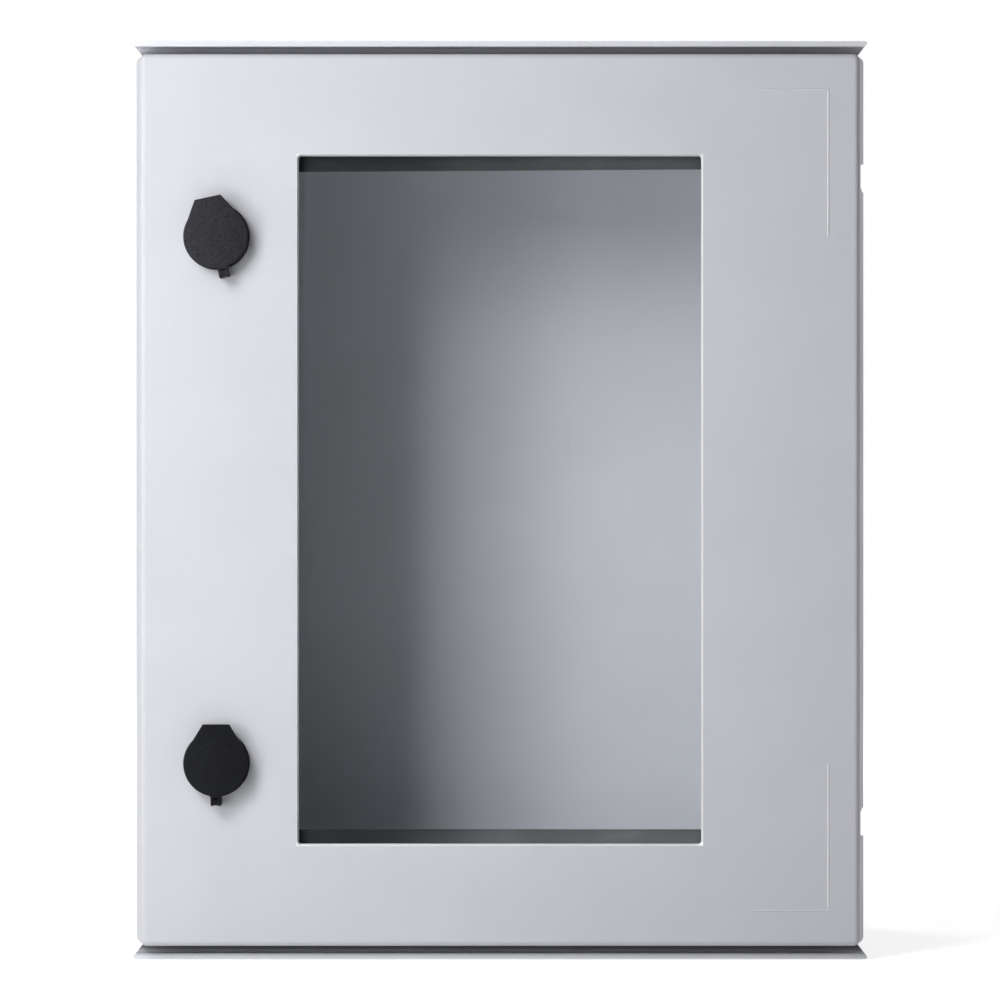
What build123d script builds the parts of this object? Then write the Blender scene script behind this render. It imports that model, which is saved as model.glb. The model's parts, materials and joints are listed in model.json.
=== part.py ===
from build123d import *

import os
from math import acos, atan2, cos, hypot, radians, sin, tan

os.makedirs("parts", exist_ok=True)

# Outdoor electrical enclosure with a glazed door.
# Millimetres. +X is right as seen from the front, +Z is up and the door faces -Y.
# The origin is the centre of the back face, so a depth d from the wall lies at y = -d.
FACE = Plane(origin=(0, 0, 0), x_dir=(1, 0, 0), z_dir=(0, -1, 0))

# Overall size
LIP_WIDTH = 400.0
LIP_HEIGHT = 500.0
DOOR_FACE = 200.0

# Clearances
SOFT_GAP = 0.3
RUN_GAP = 0.05
SEAT_GAP = 0.02
MOVE_GAP = 0.3

# Rain gutters along the top and bottom of the tub
LIP_THICK = 3.0
LIP_SETBACK = 10.0
GUTTER_DOOR_GAP = 4.5
GUTTER_REAR_GAP = 3.0
MITRE_RUN = 4.0
MITRE_DROP = 5.1
MITRE_NOSE = 1.4
LIP_CORNER = 1.0

# Door moulding
DOOR_SIDE_INSET = 1.0
DOOR_SKIN = 3.5
SKIRT_WALL = 3.0
SKIRT_DEPTH = 22.0
SIDE_FLARE = 10.9
END_FLARE = 1.3
DOOR_CORNER = 3.5
DOOR_EDGE = 3.2
END_ROOM = 3.2

# Tub
TUB_WALL = 3.5
BACK_WALL = 4.0
TUB_DRAFT = 1.0
TUB_CORNER = 10.0
TUB_BACK_EDGE = 4.0
RIM_EDGE = 0.8

# Door gasket
GASKET_WIDTH = 8.0
GASKET_THICK = 6.2
GASKET_RIB_WALL = 1.5
GASKET_RIB_HEIGHT = 4.0

# Hinges
HINGE_INSET = 66.5
PIN_R = 1.5
PIN_HEAD_R = 2.5
PIN_HEAD = 1.2
KNUCKLE_R = 3.2
KNUCKLE_ROOM = 0.8
PIVOT_SETBACK = 2.0
LUG_HEIGHT = 11.0
EYE_HEIGHT = 10.0
EYE_SINK = 1.0
LUG_REACH_BACK = 18.0
NOTCH_DEPTH = 14.5
NOTCH_SLANT = 1.9

# Window
WINDOW_SIDE = 89.75
WINDOW_END = 55.9
WINDOW_CORNER = 1.5
WINDOW_DRAFT = 13.0
GLASS_THICK = 3.0
GLASS_LAP = 12.0
GLASS_CORNER = 4.0
SEAL_THICK = 2.0
SEAL_HIDE = 1.0

# Glass clamps: flat steel bars behind the edges of the pane
CLAMP_THICK = 2.0
CLAMP_SHOW = 7.3
CLAMP_TILT = 0.35
CLAMP_SIDE_HIDE = 3.0
CLAMP_JOINT = 1.5
LOCATING_WALL = 2.0
CLAMP_BOSS_R = 4.2
CLAMP_SCREW_R = 1.5
CLAMP_HOLE_R = 2.3
CLAMP_HEAD_R = 3.3
CLAMP_HEAD = 1.8
CLAMP_SCREW_DEPTH = 4.5
CLAMP_END_INSET = 9.25
CLAMP_SIDE_INSET = 76.6

# L-shaped ribs near the hinge side of the door's face
L_RIB_WIDTH = 1.0
L_RIB_HEIGHT = 0.4
L_RIB_SLOPE = 45.0
L_RIB_INSET_X = 20.5
L_RIB_INSET_Z = 19.4
L_RIB_ACROSS = 41.5
L_RIB_DOWN = 80.0

# Locks
LOCK_SIDE_INSET = 45.6
LOCK_END_INSET = 100.0
LOCK_LENGTH = 24.0
LOCK_SEAL = 0.8
HOUSING_FLANGE_R = 14.5
HOUSING_FLANGE = 1.2
RING_SEAT_R = 13.0
RING_LIP_R = 13.8
RING_LIP = 0.8
BARREL_R = 11.0
BARREL_SPARE = 2.5
TAIL_R = 9.0
DRIVER_R = 7.0
DRIVER_NECK_R = 5.0
DRIVER_SHOULDER = 12.0
RECESS_R = 6.0
RECESS_DEPTH = 7.0
BIT_R = 2.6
BIT_WIDTH = 3.0
BIT_SPAN = 9.0
DRIVER_INSET = 1.0
SQUARE = 7.0
SQUARE_FIT = 0.05
NUT_FLATS = 27.0
NUT_THICK = 5.0
CAM_WIDTH = 14.0
CAM_THICK = 3.0
CAM_REACH = 24.3
CAM_TAIL = 9.0
CAM_SCREW_R = 2.0
CAM_SCREW_LENGTH = 10.0
CAM_HEAD_R = 5.0
CAM_HEAD = 2.6

# Keepers on the tub's left wall
KEEPER_END_MARGIN = 5.0
KEEPER_THICK = 1.8
KEEPER_LEG = 16.0
KEEPER_HOOK = 10.0
KEEPER_TIP_GAP = 0.5
PAD_MARGIN = 2.0
KEEPER_SCREW_R = 2.0
KEEPER_HEAD_R = 3.4
KEEPER_HEAD = 1.6
KEEPER_SCREW_LENGTH = 6.5
KEEPER_SCREW_PITCH = 20.0
KEEPER_SCREW_SETBACK = 10.5

# Dust caps
CAP_R = 17.15
CAP_TOP_REACH = 21.3
CAP_TOP_WIDTH = 14.3
CAP_TURN = 12.0
CAP_THICK = 4.5
CAP_PLATE = 2.2
CAP_WALL = 2.0
CAP_EDGE = 0.7
RING_R = 17.85
RING_HEIGHT = 6.9
TAB_ROOT = 6.4
TAB_END = 5.4
TAB_REACH = 22.75
TAB_FILLET = 2.2
CAP_PIN_R = 0.8
CAP_KNUCKLE_R = 1.9
CAP_KNUCKLE_WIDTH = 2.4

# Back wall
FIX_INSET_X = 23.0
FIX_INSET_Z = 21.3
FIX_HOLE_R = 4.25
FIX_COLLAR_R = 9.0
FIX_COLLAR = 2.0
PLATE_INSET_X = 33.0
PLATE_INSET_Z = 51.3
BOSS_R = 8.0
BOSS_HEIGHT = 12.0
INSERT_R = 4.0
INSERT_FLANGE_R = 5.2
INSERT_FLANGE = 0.8
INSERT_LENGTH = 10.0
INSERT_BORE_R = 2.5

# Depths from the wall that follow from the sizes above
SKIN_BACK = DOOR_FACE - DOOR_SKIN
GASKET_BACK = SKIN_BACK - GASKET_THICK
RIM_DEPTH = GASKET_BACK - SOFT_GAP
SKIRT_END = DOOR_FACE - SKIRT_DEPTH
PIVOT_DEPTH = SKIRT_END - PIVOT_SETBACK
LIP_FRONT = DOOR_FACE - LIP_SETBACK
SEAL_BACK = SKIN_BACK - SEAL_THICK
GLASS_BACK = SEAL_BACK - GLASS_THICK
CLAMP_BACK = GLASS_BACK - CLAMP_THICK
FLANGE_BACK = DOOR_FACE + LOCK_SEAL
RING_BACK = DOOR_FACE + MOVE_GAP
RING_FRONT = RING_BACK + RING_HEIGHT
HOUSING_FRONT = RING_FRONT + MOVE_GAP + RING_LIP
HOUSING_END = DOOR_FACE - LOCK_LENGTH
CAM_FRONT = HOUSING_END - MOVE_GAP
HOOK_FRONT = CAM_FRONT + MOVE_GAP + KEEPER_THICK
CAP_BACK = RING_FRONT + MOVE_GAP
CAP_PIN_DEPTH = CAP_BACK + CAP_THICK / 2
CAP_PIN_Y = CAP_THICK / 2 - TAB_REACH

# Widths, heights and places that follow
DOOR_WIDTH = LIP_WIDTH - 2 * DOOR_SIDE_INSET
DOOR_HEIGHT = LIP_HEIGHT - 2 * (LIP_THICK + GUTTER_DOOR_GAP)
TUB_WIDTH = DOOR_WIDTH - 2 * (SKIRT_WALL + 2 * (KNUCKLE_R + KNUCKLE_ROOM))
TUB_HEIGHT = DOOR_HEIGHT - 2 * (SKIRT_WALL + END_ROOM)
GASKET_SPAN_X = TUB_WIDTH - TUB_WALL
GASKET_SPAN_Z = TUB_HEIGHT - TUB_WALL
GASKET_CORNER = TUB_CORNER - TUB_WALL / 2
PIVOT_X = TUB_WIDTH / 2 + KNUCKLE_ROOM + KNUCKLE_R
NOTCH_WAIST_X = DOOR_WIDTH / 2 - SKIRT_WALL
HINGE_Z = DOOR_HEIGHT / 2 - HINGE_INSET
WINDOW_WIDTH = DOOR_WIDTH - 2 * WINDOW_SIDE
WINDOW_HEIGHT = DOOR_HEIGHT - 2 * WINDOW_END
GLASS_WIDTH = WINDOW_WIDTH + 2 * GLASS_LAP
GLASS_HEIGHT = WINDOW_HEIGHT + 2 * GLASS_LAP
POCKET_WIDTH = GLASS_WIDTH + 2 * SOFT_GAP
POCKET_HEIGHT = GLASS_HEIGHT + 2 * SOFT_GAP
CLAMP_BOSS_X = POCKET_WIDTH / 2 + CLAMP_BOSS_R
CLAMP_BOSS_Z = POCKET_HEIGHT / 2 + CLAMP_BOSS_R
CLAMP_PITCH = WINDOW_WIDTH / 2 - CLAMP_END_INSET
CLAMP_SIDE_PITCH = WINDOW_HEIGHT / 2 - CLAMP_SIDE_INSET
LOCK_X = LOCK_SIDE_INSET - DOOR_WIDTH / 2
LOCK_Z = DOOR_HEIGHT / 2 - LOCK_END_INSET
KEEPER_LENGTH = KEEPER_SCREW_PITCH + 2 * KEEPER_END_MARGIN
PAD_X = LOCK_X - CAM_REACH - KEEPER_TIP_GAP - KEEPER_THICK
LOCKS = {"upper": (LOCK_Z, CAP_TURN), "lower": (-LOCK_Z, 0.0)}
HINGES = {"upper": HINGE_Z, "lower": -HINGE_Z}
FIX_PITCH_X = TUB_WIDTH - 2 * FIX_INSET_X
FIX_PITCH_Z = TUB_HEIGHT - 2 * FIX_INSET_Z
PLATE_PITCH_X = TUB_WIDTH - 2 * PLATE_INSET_X
PLATE_PITCH_Z = TUB_HEIGHT - 2 * PLATE_INSET_Z
CLAMP_SCREWS = []
for step in (-1, 0, 1):
    for side in (-1, 1):
        CLAMP_SCREWS.append((step * CLAMP_PITCH, side * CLAMP_BOSS_Z))
        CLAMP_SCREWS.append((side * CLAMP_BOSS_X, step * CLAMP_SIDE_PITCH))


def turned(outline, x, z):
    """Turned piece about the depth axis through x, z; outline is (radius, depth) pairs."""
    with BuildPart() as piece:
        with BuildSketch(Plane(origin=(x, 0, z), x_dir=(1, 0, 0), z_dir=(0, 0, 1))):
            with BuildLine():
                Polyline([(radius, -depth) for radius, depth in outline], close=True)
            make_face()
        revolve(axis=Axis((x, 0, z), (0, 1, 0)))
    return piece.part


def drafted_block(width, height, wide_depth, narrow_depth, side_draft, end_draft, corner):
    """Block of width x height at wide_depth that narrows towards narrow_depth."""
    wide_end = FACE.offset(wide_depth)
    with BuildPart() as block:
        with BuildSketch(wide_end):
            Rectangle(width, height)
        extrude(amount=narrow_depth - wide_depth)
        lean = 1 if narrow_depth > wide_depth else -1
        draft(block.faces().filter_by(Axis.X), wide_end, lean * side_draft)
        draft(block.faces().filter_by(Axis.Z), wide_end, lean * end_draft)
        end_edges = block.faces().filter_by(Axis.Y).edges()
        fillet(block.edges() - end_edges, corner)
    return block.part


def ring_frame(outer_width, outer_height, wall, corner, rear, front):
    """Rectangular frame with an even wall, from depth rear to depth front."""
    with BuildPart() as frame:
        with BuildSketch(FACE.offset(rear)):
            RectangleRounded(outer_width, outer_height, corner)
            RectangleRounded(
                outer_width - 2 * wall,
                outer_height - 2 * wall,
                corner - wall,
                mode=Mode.SUBTRACT,
            )
        extrude(amount=front - rear)
    return frame.part


# Rain gutter: a plate that leaves the tub at 45 degrees and ends in a forward lip
lip_under = LIP_HEIGHT / 2 - LIP_THICK
slope_inner = DOOR_HEIGHT / 2 - (SKIRT_END - GUTTER_REAR_GAP)
slope_outer = slope_inner + LIP_THICK * 2**0.5
root_z = TUB_HEIGHT / 2 - TUB_CORNER
mitre_top = LIP_HEIGHT / 2 - MITRE_NOSE
relief_z = mitre_top - MITRE_DROP
with BuildPart() as gutter:
    with BuildSketch(Plane.YZ):
        with BuildLine():
            Polyline(
                (-LIP_FRONT, LIP_HEIGHT / 2),
                (slope_outer - LIP_HEIGHT / 2, LIP_HEIGHT / 2),
                (slope_outer - root_z, root_z),
                (slope_inner - root_z, root_z),
                (slope_inner - lip_under, lip_under),
                (-LIP_FRONT, lip_under),
                close=True,
            )
        make_face()
    extrude(amount=LIP_WIDTH / 2, both=True)
    # Mitred ends, cut back below the mitre to the tub's side so that the door can swing
    with BuildSketch(FACE):
        with BuildLine():
            Polyline(
                (TUB_WIDTH / 2, 0),
                (TUB_WIDTH / 2, relief_z),
                (LIP_WIDTH / 2 - MITRE_RUN, relief_z),
                (LIP_WIDTH / 2, mitre_top),
                (LIP_WIDTH, mitre_top),
                (LIP_WIDTH, 0),
                close=True,
            )
        make_face()
        mirror(about=Plane.YZ)
    extrude(amount=DOOR_FACE, mode=Mode.SUBTRACT)
    lip_corners = gutter.edges().filter_by(Axis.Y).group_by(Axis.Z)[-1]
    fillet(lip_corners, LIP_CORNER)

# Base shell: the tub with its gutters, hinge lugs, keeper pads and bosses
tub_outside = drafted_block(TUB_WIDTH, TUB_HEIGHT, RIM_DEPTH, 0, TUB_DRAFT, TUB_DRAFT, TUB_CORNER)
tub_inside = drafted_block(
    TUB_WIDTH - 2 * TUB_WALL,
    TUB_HEIGHT - 2 * TUB_WALL,
    RIM_DEPTH,
    BACK_WALL,
    TUB_DRAFT,
    TUB_DRAFT,
    TUB_CORNER - TUB_WALL,
)
wall_middle = TUB_WIDTH / 2 - TUB_WALL / 2
with BuildPart() as base_shell:
    add(tub_outside)
    fillet(base_shell.faces().sort_by(Axis.Y)[-1].edges(), TUB_BACK_EDGE)
    add(gutter.part)
    mirror(gutter.part, about=Plane.XY)
    add(tub_inside, mode=Mode.SUBTRACT)
    chamfer(base_shell.faces().sort_by(Axis.Y)[0].edges(), RIM_EDGE)
    # Hinge lugs on the right wall, each with a gusset that runs back along it
    for hinge_z in HINGES.values():
        lug_foot = Plane.XY.offset(hinge_z - LUG_HEIGHT / 2)
        with BuildSketch(lug_foot):
            with BuildLine():
                Polyline(
                    (wall_middle, -PIVOT_DEPTH - KNUCKLE_R),
                    (PIVOT_X, -PIVOT_DEPTH - KNUCKLE_R),
                    (PIVOT_X + KNUCKLE_R * cos(radians(30)), KNUCKLE_R / 2 - PIVOT_DEPTH),
                    (wall_middle, LUG_REACH_BACK - PIVOT_DEPTH),
                    close=True,
                )
            make_face()
            with Locations((PIVOT_X, -PIVOT_DEPTH)):
                Circle(KNUCKLE_R)
        extrude(amount=LUG_HEIGHT)
        with BuildSketch(lug_foot):
            with Locations((PIVOT_X, -PIVOT_DEPTH)):
                Circle(PIN_R + RUN_GAP)
        extrude(amount=LUG_HEIGHT, mode=Mode.SUBTRACT)
    # Pads for the keepers on the left wall
    for lock_z, _ in LOCKS.values():
        with BuildSketch(FACE.offset(HOOK_FRONT - KEEPER_LEG - PAD_MARGIN)):
            with Locations((PAD_X, lock_z)):
                Rectangle(
                    wall_middle + PAD_X,
                    KEEPER_LENGTH + 2 * PAD_MARGIN,
                    align=(Align.MAX, Align.CENTER),
                )
        extrude(amount=KEEPER_LEG + 2 * PAD_MARGIN)
        with BuildSketch(Plane.YZ.offset(PAD_X)):
            with Locations((KEEPER_SCREW_SETBACK - HOOK_FRONT, lock_z)):
                with GridLocations(1, KEEPER_SCREW_PITCH, 1, 2):
                    Circle(KEEPER_SCREW_R + SEAT_GAP)
        extrude(amount=KEEPER_THICK - KEEPER_SCREW_LENGTH - SEAT_GAP, mode=Mode.SUBTRACT)
    # Plate bosses, and raised collars round the wall fixings
    with BuildSketch(FACE.offset(BACK_WALL)):
        with GridLocations(PLATE_PITCH_X, PLATE_PITCH_Z, 2, 2):
            Circle(BOSS_R)
    extrude(amount=BOSS_HEIGHT)
    with BuildSketch(FACE.offset(BACK_WALL)):
        with GridLocations(FIX_PITCH_X, FIX_PITCH_Z, 2, 2):
            Circle(FIX_COLLAR_R)
    extrude(amount=FIX_COLLAR)
    with BuildSketch(FACE):
        with GridLocations(FIX_PITCH_X, FIX_PITCH_Z, 2, 2):
            Circle(FIX_HOLE_R)
    extrude(amount=BACK_WALL + FIX_COLLAR, mode=Mode.SUBTRACT)
    with BuildSketch(FACE.offset(BACK_WALL + BOSS_HEIGHT)):
        with GridLocations(PLATE_PITCH_X, PLATE_PITCH_Z, 2, 2):
            Circle(INSERT_R + SEAT_GAP)
    extrude(amount=-INSERT_LENGTH - SEAT_GAP, mode=Mode.SUBTRACT)
base_shell.part.label = "base_shell"
export_step(base_shell.part, "parts/base_shell.step")

# Brass inserts in the plate bosses
boss_top = FACE.offset(BACK_WALL + BOSS_HEIGHT)
with BuildPart() as plate_inserts:
    with BuildSketch(boss_top):
        with GridLocations(PLATE_PITCH_X, PLATE_PITCH_Z, 2, 2):
            Circle(INSERT_R)
    extrude(amount=-INSERT_LENGTH)
    with BuildSketch(boss_top):
        with GridLocations(PLATE_PITCH_X, PLATE_PITCH_Z, 2, 2):
            Circle(INSERT_FLANGE_R)
    extrude(amount=INSERT_FLANGE)
    with BuildSketch(boss_top.offset(INSERT_FLANGE)):
        with GridLocations(PLATE_PITCH_X, PLATE_PITCH_Z, 2, 2):
            Circle(INSERT_BORE_R)
    extrude(amount=-INSERT_LENGTH - INSERT_FLANGE, mode=Mode.SUBTRACT)
plate_inserts.part.label = "plate_inserts"
export_step(plate_inserts.part, "parts/plate_inserts.step")

# Door panel: skin, flared skirt, window, ribs and hinge eyes in one moulding
door_outside = drafted_block(
    DOOR_WIDTH, DOOR_HEIGHT, SKIRT_END, DOOR_FACE, SIDE_FLARE, END_FLARE, DOOR_CORNER
)
door_inside = drafted_block(
    DOOR_WIDTH - 2 * SKIRT_WALL,
    DOOR_HEIGHT - 2 * SKIRT_WALL,
    SKIRT_END,
    SKIN_BACK,
    SIDE_FLARE,
    END_FLARE,
    DOOR_CORNER - SKIRT_WALL,
)
gasket_inner_width = GASKET_SPAN_X - GASKET_WIDTH
gasket_inner_height = GASKET_SPAN_Z - GASKET_WIDTH
gasket_rib = ring_frame(
    gasket_inner_width - 2 * SOFT_GAP,
    gasket_inner_height - 2 * SOFT_GAP,
    GASKET_RIB_WALL,
    GASKET_CORNER - GASKET_WIDTH / 2,
    SKIN_BACK - GASKET_RIB_HEIGHT,
    SKIN_BACK,
)
glass_pocket = ring_frame(
    POCKET_WIDTH + 2 * LOCATING_WALL,
    POCKET_HEIGHT + 2 * LOCATING_WALL,
    LOCATING_WALL,
    GLASS_CORNER + SOFT_GAP + LOCATING_WALL,
    GLASS_BACK,
    SKIN_BACK,
)
eye_inner_x = (GASKET_SPAN_X + GASKET_WIDTH) / 2 + SOFT_GAP
skirt_middle = DOOR_WIDTH / 2 - SKIRT_WALL / 2
skirt_lean = tan(radians(SIDE_FLARE))
eye_foot = LUG_HEIGHT / 2 + MOVE_GAP
with BuildPart() as door_panel:
    add(door_outside)
    fillet(door_panel.faces().sort_by(Axis.Y)[0].edges(), DOOR_EDGE)
    add(door_inside, mode=Mode.SUBTRACT)
    add(gasket_rib)
    add(glass_pocket)
    # Bosses for the clamp screws, level with the pocket's wall
    with BuildSketch(FACE.offset(SKIN_BACK)):
        with Locations(*CLAMP_SCREWS):
            Circle(CLAMP_BOSS_R)
    extrude(amount=GLASS_BACK - SKIN_BACK)
    with BuildSketch(FACE.offset(GLASS_BACK)):
        with Locations(*CLAMP_SCREWS):
            Circle(CLAMP_SCREW_R + SEAT_GAP)
    extrude(amount=CLAMP_SCREW_DEPTH + SEAT_GAP, mode=Mode.SUBTRACT)
    # Window opening, drafted so that it widens towards the front
    with BuildSketch(FACE.offset(SKIN_BACK)):
        RectangleRounded(WINDOW_WIDTH, WINDOW_HEIGHT, WINDOW_CORNER)
    extrude(amount=DOOR_SKIN, taper=-WINDOW_DRAFT, mode=Mode.SUBTRACT)
    # Two thin L-shaped ribs near the hinge side
    with BuildSketch(FACE.offset(DOOR_FACE)):
        with Locations((DOOR_WIDTH / 2 - L_RIB_INSET_X, DOOR_HEIGHT / 2 - L_RIB_INSET_Z)):
            Rectangle(L_RIB_ACROSS, L_RIB_WIDTH, align=(Align.MAX, Align.MAX))
            Rectangle(L_RIB_WIDTH, L_RIB_DOWN, align=(Align.MAX, Align.MAX))
        mirror(about=Plane.XZ)
    extrude(amount=L_RIB_HEIGHT, taper=L_RIB_SLOPE)
    # Holes for the lock housings
    with BuildSketch(FACE.offset(SKIN_BACK)):
        with Locations(*[(LOCK_X, lock_z) for lock_z, _ in LOCKS.values()]):
            Circle(BARREL_R + MOVE_GAP)
    extrude(amount=DOOR_SKIN, mode=Mode.SUBTRACT)
    for hinge_z in HINGES.values():
        # A pair of eyes, above and below the tub's lug
        for side in (-1, 1):
            eye_plane = Plane.XY.offset(hinge_z + side * (eye_foot + EYE_HEIGHT / 2))
            with BuildSketch(eye_plane):
                with BuildLine():
                    Polyline(
                        (eye_inner_x, -PIVOT_DEPTH),
                        (PIVOT_X + KNUCKLE_R, -PIVOT_DEPTH),
                        (skirt_middle - skirt_lean * EYE_SINK, -SKIRT_END - EYE_SINK),
                        (skirt_middle - skirt_lean * SKIRT_DEPTH, -SKIN_BACK - EYE_SINK),
                        (eye_inner_x, -SKIN_BACK - EYE_SINK),
                        close=True,
                    )
                make_face()
                with Locations((PIVOT_X, -PIVOT_DEPTH)):
                    Circle(KNUCKLE_R)
                    Circle(PIN_R + SEAT_GAP, mode=Mode.SUBTRACT)
            extrude(amount=EYE_HEIGHT / 2, both=True)
        # Notch that lets the skirt swing past the lug
        with BuildSketch(FACE.offset(PIVOT_DEPTH)):
            with BuildLine():
                Polyline(
                    (PIVOT_X, hinge_z - eye_foot),
                    (PIVOT_X, hinge_z + eye_foot),
                    (NOTCH_WAIST_X, hinge_z + eye_foot),
                    (NOTCH_WAIST_X + NOTCH_SLANT, hinge_z + eye_foot + NOTCH_SLANT),
                    (LIP_WIDTH, hinge_z + eye_foot + NOTCH_SLANT),
                    (LIP_WIDTH, hinge_z - eye_foot - NOTCH_SLANT),
                    (NOTCH_WAIST_X + NOTCH_SLANT, hinge_z - eye_foot - NOTCH_SLANT),
                    (NOTCH_WAIST_X, hinge_z - eye_foot),
                    close=True,
                )
            make_face()
        extrude(amount=NOTCH_DEPTH + PIVOT_SETBACK, mode=Mode.SUBTRACT)
door_panel.part.label = "door_panel"
export_step(door_panel.part, "parts/door_panel.step")

# Door gasket, pressed by the tub's rim
with BuildPart() as door_gasket:
    add(
        ring_frame(
            GASKET_SPAN_X + GASKET_WIDTH,
            GASKET_SPAN_Z + GASKET_WIDTH,
            GASKET_WIDTH,
            GASKET_CORNER + GASKET_WIDTH / 2,
            GASKET_BACK,
            SKIN_BACK,
        )
    )
door_gasket.part.label = "door_gasket"
export_step(door_gasket.part, "parts/door_gasket.step")

# Glazing seal between the skin and the pane, set back from the window's edge
with BuildPart() as glazing_seal:
    with BuildSketch(FACE.offset(SEAL_BACK)):
        RectangleRounded(GLASS_WIDTH, GLASS_HEIGHT, GLASS_CORNER)
        Rectangle(
            WINDOW_WIDTH + 2 * SEAL_HIDE, WINDOW_HEIGHT + 2 * SEAL_HIDE, mode=Mode.SUBTRACT
        )
    extrude(amount=SEAL_THICK)
glazing_seal.part.label = "glazing_seal"
export_step(glazing_seal.part, "parts/glazing_seal.step")

# Window pane
with BuildPart() as window_pane:
    with BuildSketch(FACE.offset(GLASS_BACK)):
        RectangleRounded(GLASS_WIDTH, GLASS_HEIGHT, GLASS_CORNER)
    extrude(amount=GLASS_THICK)
window_pane.part.label = "window_pane"
export_step(window_pane.part, "parts/window_pane.step")

# Clamps along the top and bottom of the pane; the top one sits slightly askew
clamp_inner_z = WINDOW_HEIGHT / 2 - CLAMP_SHOW
clamp_outer_z = CLAMP_BOSS_Z + CLAMP_BOSS_R
for name, side, tilt in (("glass_clamp_top", 1, CLAMP_TILT), ("glass_clamp_bottom", -1, 0)):
    with BuildPart() as end_clamp:
        with BuildSketch(FACE.offset(CLAMP_BACK)):
            with Locations(Location((0, side * (clamp_inner_z + clamp_outer_z) / 2), tilt)):
                Rectangle(2 * (CLAMP_BOSS_X + CLAMP_BOSS_R), clamp_outer_z - clamp_inner_z)
            with Locations((0, side * CLAMP_BOSS_Z)):
                with GridLocations(CLAMP_PITCH, 1, 3, 1):
                    Circle(CLAMP_HOLE_R, mode=Mode.SUBTRACT)
        extrude(amount=CLAMP_THICK)
    end_clamp.part.label = name
    export_step(end_clamp.part, f"parts/{name}.step")

# Clamps along the sides of the pane, hidden behind the skin
clamp_inner_x = WINDOW_WIDTH / 2 + CLAMP_SIDE_HIDE
clamp_outer_x = CLAMP_BOSS_X + CLAMP_BOSS_R
for name, side in (("glass_clamp_left", -1), ("glass_clamp_right", 1)):
    with BuildPart() as side_clamp:
        with BuildSketch(FACE.offset(CLAMP_BACK)):
            with Locations((side * (clamp_inner_x + clamp_outer_x) / 2, 0)):
                Rectangle(clamp_outer_x - clamp_inner_x, 2 * (clamp_inner_z - CLAMP_JOINT))
            with Locations((side * CLAMP_BOSS_X, 0)):
                with GridLocations(1, CLAMP_SIDE_PITCH, 1, 3):
                    Circle(CLAMP_HOLE_R, mode=Mode.SUBTRACT)
        extrude(amount=CLAMP_THICK)
    side_clamp.part.label = name
    export_step(side_clamp.part, f"parts/{name}.step")

# Screws of the four clamps
with BuildPart() as clamp_screws:
    with BuildSketch(FACE.offset(CLAMP_BACK)):
        with Locations(*CLAMP_SCREWS):
            Circle(CLAMP_SCREW_R)
    extrude(amount=CLAMP_THICK + CLAMP_SCREW_DEPTH)
    with BuildSketch(FACE.offset(CLAMP_BACK)):
        with Locations(*CLAMP_SCREWS):
            Circle(CLAMP_HEAD_R)
    extrude(amount=-CLAMP_HEAD)
    chamfer(clamp_screws.faces().group_by(Axis.Y)[-1].edges(), CLAMP_HEAD / 2)
clamp_screws.part.label = "clamp_screws"
export_step(clamp_screws.part, "parts/clamp_screws.step")

# Hinge pins, headed at the lower end
pin_half = eye_foot + EYE_HEIGHT
for name, hinge_z in HINGES.items():
    with BuildPart() as hinge_pin:
        pin_plane = Plane(
            origin=(PIVOT_X, -PIVOT_DEPTH, hinge_z), x_dir=(1, 0, 0), z_dir=(0, -1, 0)
        )
        with BuildSketch(pin_plane):
            with BuildLine():
                Polyline(
                    (0, -pin_half - PIN_HEAD),
                    (PIN_HEAD_R - PIN_HEAD / 2, -pin_half - PIN_HEAD),
                    (PIN_HEAD_R, -pin_half - PIN_HEAD / 2),
                    (PIN_HEAD_R, -pin_half),
                    (PIN_R, -pin_half),
                    (PIN_R, pin_half - PIN_R / 3),
                    (PIN_R - PIN_R / 3, pin_half),
                    (0, pin_half),
                    close=True,
                )
            make_face()
        revolve(axis=Axis((PIVOT_X, -PIVOT_DEPTH, 0), (0, 0, 1)))
    hinge_pin.part.label = f"hinge_pin_{name}"
    export_step(hinge_pin.part, f"parts/hinge_pin_{name}.step")

# Keepers that the cams turn behind
for name, (lock_z, _) in LOCKS.items():
    with BuildPart() as keeper:
        with BuildSketch(Plane.XY.offset(lock_z - KEEPER_LENGTH / 2)):
            with Locations((PAD_X, -HOOK_FRONT)):
                Rectangle(KEEPER_THICK, KEEPER_LEG, align=(Align.MIN, Align.MIN))
                Rectangle(
                    KEEPER_THICK + KEEPER_HOOK, KEEPER_THICK, align=(Align.MIN, Align.MIN)
                )
        extrude(amount=KEEPER_LENGTH)
        bend = keeper.edges().filter_by(Axis.Z).group_by(Axis.X)[0].sort_by(Axis.Y)[0]
        fillet(bend, KEEPER_THICK - RUN_GAP)
        with BuildSketch(Plane.YZ.offset(PAD_X)):
            with Locations((KEEPER_SCREW_SETBACK - HOOK_FRONT, lock_z)):
                with GridLocations(1, KEEPER_SCREW_PITCH, 1, 2):
                    Circle(KEEPER_SCREW_R + MOVE_GAP)
        extrude(amount=KEEPER_THICK, mode=Mode.SUBTRACT)
    keeper.part.label = f"keeper_{name}"
    export_step(keeper.part, f"parts/keeper_{name}.step")

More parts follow.
